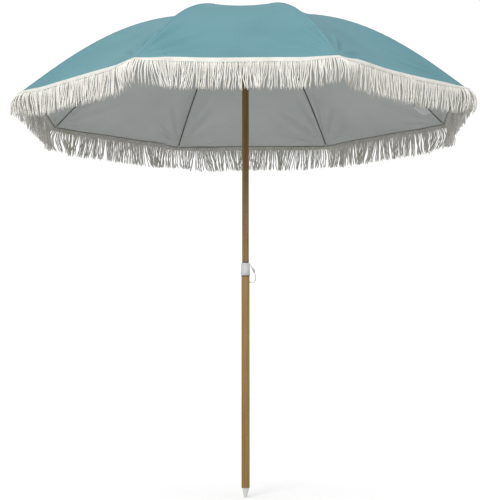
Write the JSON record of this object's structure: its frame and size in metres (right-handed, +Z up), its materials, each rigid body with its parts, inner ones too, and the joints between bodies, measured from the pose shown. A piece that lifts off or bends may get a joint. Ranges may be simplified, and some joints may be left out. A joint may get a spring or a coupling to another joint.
{
  "type": "beach umbrella",
  "caption": "Beach umbrella with a ribbed, fringed octagonal canopy that folds, on a telescoping wood-look pole with a clip lock and ground spike.",
  "frame": {"origin": "centre of the flat end of the ground spike, on the pole's axis", "axes": "+Z up along the pole; +X towards the locking clip; a whole canopy panel faces -Y"},
  "size_m": [1.673, 1.673, 1.9303],
  "materials": {
    "canopy_cloth": "matte",
    "fringe_cotton": "matte",
    "rib_steel": "satin",
    "bright_steel": "satin",
    "wood_look": "satin",
    "white_plastic": "satin"
  },
  "bodies": {
    "lower_pole": {"ground_spike": "white_plastic", "lower_tube": "wood_look", "pole_collar": "white_plastic"},
    "lock_clip": {"lock_clip": "bright_steel"},
    "upper_pole": {"tube_bush": "white_plastic", "upper_tube": "wood_look", "crown": "white_plastic", "crown_wire": "bright_steel", "top_cap": "white_plastic"},
    "catch": {"catch_spring": "bright_steel"},
    "runner": {"runner": "white_plastic", "runner_wire": "bright_steel"},
    "rib_1": {"rib_inner_1": "rib_steel", "canopy_inner_1": "canopy_cloth"},
    "rib_end_1": {"rib_outer_1": "rib_steel", "canopy_outer_1": "canopy_cloth"},
    "strut_1": {"strut_1": "rib_steel"},
    "fringe_1": {"fringe_1": "fringe_cotton"},
    "rib_2": {"rib_inner_2": "rib_steel", "canopy_inner_2": "canopy_cloth"},
    "rib_end_2": {"rib_outer_2": "rib_steel", "canopy_outer_2": "canopy_cloth"},
    "strut_2": {"strut_2": "rib_steel"},
    "fringe_2": {"fringe_2": "fringe_cotton"},
    "rib_3": {"rib_inner_3": "rib_steel", "canopy_inner_3": "canopy_cloth"},
    "rib_end_3": {"rib_outer_3": "rib_steel", "canopy_outer_3": "canopy_cloth"},
    "strut_3": {"strut_3": "rib_steel"},
    "fringe_3": {"fringe_3": "fringe_cotton"},
    "rib_4": {"rib_inner_4": "rib_steel", "canopy_inner_4": "canopy_cloth"},
    "rib_end_4": {"rib_outer_4": "rib_steel", "canopy_outer_4": "canopy_cloth"},
    "strut_4": {"strut_4": "rib_steel"},
    "fringe_4": {"fringe_4": "fringe_cotton"},
    "rib_5": {"rib_inner_5": "rib_steel", "canopy_inner_5": "canopy_cloth"},
    "rib_end_5": {"rib_outer_5": "rib_steel", "canopy_outer_5": "canopy_cloth"},
    "strut_5": {"strut_5": "rib_steel"},
    "fringe_5": {"fringe_5": "fringe_cotton"},
    "rib_6": {"rib_inner_6": "rib_steel", "canopy_inner_6": "canopy_cloth"},
    "rib_end_6": {"rib_outer_6": "rib_steel", "canopy_outer_6": "canopy_cloth"},
    "strut_6": {"strut_6": "rib_steel"},
    "fringe_6": {"fringe_6": "fringe_cotton"},
    "rib_7": {"rib_inner_7": "rib_steel", "canopy_inner_7": "canopy_cloth"},
    "rib_end_7": {"rib_outer_7": "rib_steel", "canopy_outer_7": "canopy_cloth"},
    "strut_7": {"strut_7": "rib_steel"},
    "fringe_7": {"fringe_7": "fringe_cotton"},
    "rib_8": {"rib_inner_8": "rib_steel", "canopy_inner_8": "canopy_cloth"},
    "rib_end_8": {"rib_outer_8": "rib_steel", "canopy_outer_8": "canopy_cloth"},
    "strut_8": {"strut_8": "rib_steel"},
    "fringe_8": {"fringe_8": "fringe_cotton"}
  },
  "joints": [
    {"name": "pole_slide", "type": "slide", "parent": "lower_pole", "child": "upper_pole", "axis": [0, 0, 1], "range_m": [-0.2, 0.1]},
    {"name": "clip_swing", "type": "hinge", "parent": "lower_pole", "child": "lock_clip", "pos_m": [0.029, 0, 0.889], "axis": [0, -1, 0], "range_deg": [0, 70]},
    {"name": "catch_press", "type": "slide", "parent": "upper_pole", "child": "catch", "axis": [0, 1, 0], "range_m": [0, 0.0055], "stiffness_N_per_m": 400, "springref_m": -0.001},
    {"name": "canopy_fold", "type": "hinge", "parent": "upper_pole", "child": "rib_1", "pos_m": [0.00842, -0.02032, 1.9], "axis": [0.9239, 0.3827, 0], "range_deg": [0, 76], "deforming": ["canopy_inner_1", "canopy_inner_2", "canopy_inner_3", "canopy_inner_4", "canopy_inner_5", "canopy_inner_6", "canopy_inner_7", "canopy_inner_8", "canopy_outer_1", "canopy_outer_2", "canopy_outer_3", "canopy_outer_4", "canopy_outer_5", "canopy_outer_6", "canopy_outer_7", "canopy_outer_8", "fringe_1", "fringe_2", "fringe_3", "fringe_4", "fringe_5", "fringe_6", "fringe_7", "fringe_8", "catch_spring"]},
    {"name": "rib_flex_1", "type": "hinge", "parent": "rib_1", "child": "rib_end_1", "pos_m": [0.14236, -0.34368, 1.86579], "axis": [0.9239, 0.3827, 0], "range_deg": [-21.23, 0.01]},
    {"name": "strut_swing_1", "type": "hinge", "parent": "rib_1", "child": "strut_1", "pos_m": [0.13777, -0.3326, 1.85447], "axis": [0.9239, 0.3827, 0], "range_deg": [-135.73, 0.02]},
    {"name": "fringe_hang_1", "type": "hinge", "parent": "rib_end_1", "child": "fringe_1", "pos_m": [0.34442, -0.83149, 1.533], "axis": [0.9239, 0.3827, 0], "range_deg": [-54.8, 0.02]},
    {"name": "rib_fold_2", "type": "hinge", "parent": "upper_pole", "child": "rib_2", "pos_m": [0.02032, -0.00842, 1.9], "axis": [0.3827, 0.9239, 0], "range_deg": [-0.01, 76.01]},
    {"name": "rib_flex_2", "type": "hinge", "parent": "rib_2", "child": "rib_end_2", "pos_m": [0.34368, -0.14236, 1.86579], "axis": [0.3827, 0.9239, 0], "range_deg": [-21.23, 0.01]},
    {"name": "strut_swing_2", "type": "hinge", "parent": "rib_2", "child": "strut_2", "pos_m": [0.3326, -0.13777, 1.85447], "axis": [0.3827, 0.9239, 0], "range_deg": [-135.73, 0.02]},
    {"name": "fringe_hang_2", "type": "hinge", "parent": "rib_end_2", "child": "fringe_2", "pos_m": [0.83149, -0.34442, 1.533], "axis": [0.3827, 0.9239, 0], "range_deg": [-54.8, 0.02]},
    {"name": "rib_fold_3", "type": "hinge", "parent": "upper_pole", "child": "rib_3", "pos_m": [0.02032, 0.00842, 1.9], "axis": [-0.3827, 0.9239, 0], "range_deg": [-0.01, 76.01]},
    {"name": "rib_flex_3", "type": "hinge", "parent": "rib_3", "child": "rib_end_3", "pos_m": [0.34368, 0.14236, 1.86579], "axis": [-0.3827, 0.9239, 0], "range_deg": [-21.23, 0.01]},
    {"name": "strut_swing_3", "type": "hinge", "parent": "rib_3", "child": "strut_3", "pos_m": [0.3326, 0.13777, 1.85447], "axis": [-0.3827, 0.9239, 0], "range_deg": [-135.73, 0.02]},
    {"name": "fringe_hang_3", "type": "hinge", "parent": "rib_end_3", "child": "fringe_3", "pos_m": [0.83149, 0.34442, 1.533], "axis": [-0.3827, 0.9239, 0], "range_deg": [-54.8, 0.02]},
    {"name": "rib_fold_4", "type": "hinge", "parent": "upper_pole", "child": "rib_4", "pos_m": [0.00842, 0.02032, 1.9], "axis": [-0.9239, 0.3827, 0], "range_deg": [-0.01, 76.01]},
    {"name": "rib_flex_4", "type": "hinge", "parent": "rib_4", "child": "rib_end_4", "pos_m": [0.14236, 0.34368, 1.86579], "axis": [-0.9239, 0.3827, 0], "range_deg": [-21.23, 0.01]},
    {"name": "strut_swing_4", "type": "hinge", "parent": "rib_4", "child": "strut_4", "pos_m": [0.13777, 0.3326, 1.85447], "axis": [-0.9239, 0.3827, 0], "range_deg": [-135.73, 0.02]},
    {"name": "fringe_hang_4", "type": "hinge", "parent": "rib_end_4", "child": "fringe_4", "pos_m": [0.34442, 0.83149, 1.533], "axis": [-0.9239, 0.3827, 0], "range_deg": [-54.8, 0.02]},
    {"name": "rib_fold_5", "type": "hinge", "parent": "upper_pole", "child": "rib_5", "pos_m": [-0.00842, 0.02032, 1.9], "axis": [-0.9239, -0.3827, 0], "range_deg": [-0.01, 76.01]},
    {"name": "rib_flex_5", "type": "hinge", "parent": "rib_5", "child": "rib_end_5", "pos_m": [-0.14236, 0.34368, 1.86579], "axis": [-0.9239, -0.3827, 0], "range_deg": [-21.23, 0.01]},
    {"name": "strut_swing_5", "type": "hinge", "parent": "rib_5", "child": "strut_5", "pos_m": [-0.13777, 0.3326, 1.85447], "axis": [-0.9239, -0.3827, 0], "range_deg": [-135.73, 0.02]},
    {"name": "fringe_hang_5", "type": "hinge", "parent": "rib_end_5", "child": "fringe_5", "pos_m": [-0.34442, 0.83149, 1.533], "axis": [-0.9239, -0.3827, 0], "range_deg": [-54.8, 0.02]},
    {"name": "rib_fold_6", "type": "hinge", "parent": "upper_pole", "child": "rib_6", "pos_m": [-0.02032, 0.00842, 1.9], "axis": [-0.3827, -0.9239, 0], "range_deg": [-0.01, 76.01]},
    {"name": "rib_flex_6", "type": "hinge", "parent": "rib_6", "child": "rib_end_6", "pos_m": [-0.34368, 0.14236, 1.86579], "axis": [-0.3827, -0.9239, 0], "range_deg": [-21.23, 0.01]},
    {"name": "strut_swing_6", "type": "hinge", "parent": "rib_6", "child": "strut_6", "pos_m": [-0.3326, 0.13777, 1.85447], "axis": [-0.3827, -0.9239, 0], "range_deg": [-135.73, 0.02]},
    {"name": "fringe_hang_6", "type": "hinge", "parent": "rib_end_6", "child": "fringe_6", "pos_m": [-0.83149, 0.34442, 1.533], "axis": [-0.3827, -0.9239, 0], "range_deg": [-54.8, 0.02]},
    {"name": "rib_fold_7", "type": "hinge", "parent": "upper_pole", "child": "rib_7", "pos_m": [-0.02032, -0.00842, 1.9], "axis": [0.3827, -0.9239, 0], "range_deg": [-0.01, 76.01]},
    {"name": "rib_flex_7", "type": "hinge", "parent": "rib_7", "child": "rib_end_7", "pos_m": [-0.34368, -0.14236, 1.86579], "axis": [0.3827, -0.9239, 0], "range_deg": [-21.23, 0.01]},
    {"name": "strut_swing_7", "type": "hinge", "parent": "rib_7", "child": "strut_7", "pos_m": [-0.3326, -0.13777, 1.85447], "axis": [0.3827, -0.9239, 0], "range_deg": [-135.73, 0.02]},
    {"name": "fringe_hang_7", "type": "hinge", "parent": "rib_end_7", "child": "fringe_7", "pos_m": [-0.83149, -0.34442, 1.533], "axis": [0.3827, -0.9239, 0], "range_deg": [-54.8, 0.02]},
    {"name": "rib_fold_8", "type": "hinge", "parent": "upper_pole", "child": "rib_8", "pos_m": [-0.00842, -0.02032, 1.9], "axis": [0.9239, -0.3827, 0], "range_deg": [-0.01, 76.01]},
    {"name": "rib_flex_8", "type": "hinge", "parent": "rib_8", "child": "rib_end_8", "pos_m": [-0.14236, -0.34368, 1.86579], "axis": [0.9239, -0.3827, 0], "range_deg": [-21.23, 0.01]},
    {"name": "strut_swing_8", "type": "hinge", "parent": "rib_8", "child": "strut_8", "pos_m": [-0.13777, -0.3326, 1.85447], "axis": [0.9239, -0.3827, 0], "range_deg": [-135.73, 0.02]},
    {"name": "fringe_hang_8", "type": "hinge", "parent": "rib_end_8", "child": "fringe_8", "pos_m": [-0.34442, -0.83149, 1.533], "axis": [0.9239, -0.3827, 0], "range_deg": [-54.8, 0.02]},
    {"name": "runner_slide", "type": "slide", "parent": "upper_pole", "child": "runner", "axis": [0, 0, -1], "range_m": [-0.0001, 0.50798]}
  ],
  "couplings": [
    {"joint": "rib_flex_1", "follows": "canopy_fold", "ratio": -0.27924},
    {"joint": "strut_swing_1", "follows": "canopy_fold", "ratio": -1.7857},
    {"joint": "fringe_hang_1", "follows": "canopy_fold", "ratio": -0.72076},
    {"joint": "rib_fold_2", "follows": "canopy_fold", "ratio": 1},
    {"joint": "rib_flex_2", "follows": "canopy_fold", "ratio": -0.27924},
    {"joint": "strut_swing_2", "follows": "canopy_fold", "ratio": -1.7857},
    {"joint": "fringe_hang_2", "follows": "canopy_fold", "ratio": -0.72076},
    {"joint": "rib_fold_3", "follows": "canopy_fold", "ratio": 1},
    {"joint": "rib_flex_3", "follows": "canopy_fold", "ratio": -0.27924},
    {"joint": "strut_swing_3", "follows": "canopy_fold", "ratio": -1.7857},
    {"joint": "fringe_hang_3", "follows": "canopy_fold", "ratio": -0.72076},
    {"joint": "rib_fold_4", "follows": "canopy_fold", "ratio": 1},
    {"joint": "rib_flex_4", "follows": "canopy_fold", "ratio": -0.27924},
    {"joint": "strut_swing_4", "follows": "canopy_fold", "ratio": -1.7857},
    {"joint": "fringe_hang_4", "follows": "canopy_fold", "ratio": -0.72076},
    {"joint": "rib_fold_5", "follows": "canopy_fold", "ratio": 1},
    {"joint": "rib_flex_5", "follows": "canopy_fold", "ratio": -0.27924},
    {"joint": "strut_swing_5", "follows": "canopy_fold", "ratio": -1.7857},
    {"joint": "fringe_hang_5", "follows": "canopy_fold", "ratio": -0.72076},
    {"joint": "rib_fold_6", "follows": "canopy_fold", "ratio": 1},
    {"joint": "rib_flex_6", "follows": "canopy_fold", "ratio": -0.27924},
    {"joint": "strut_swing_6", "follows": "canopy_fold", "ratio": -1.7857},
    {"joint": "fringe_hang_6", "follows": "canopy_fold", "ratio": -0.72076},
    {"joint": "rib_fold_7", "follows": "canopy_fold", "ratio": 1},
    {"joint": "rib_flex_7", "follows": "canopy_fold", "ratio": -0.27924},
    {"joint": "strut_swing_7", "follows": "canopy_fold", "ratio": -1.7857},
    {"joint": "fringe_hang_7", "follows": "canopy_fold", "ratio": -0.72076},
    {"joint": "rib_fold_8", "follows": "canopy_fold", "ratio": 1},
    {"joint": "rib_flex_8", "follows": "canopy_fold", "ratio": -0.27924},
    {"joint": "strut_swing_8", "follows": "canopy_fold", "ratio": -1.7857},
    {"joint": "fringe_hang_8", "follows": "canopy_fold", "ratio": -0.72076},
    {"joint": "runner_slide", "follows": "canopy_fold", "m_per_rad": 0.38289}
  ]
}
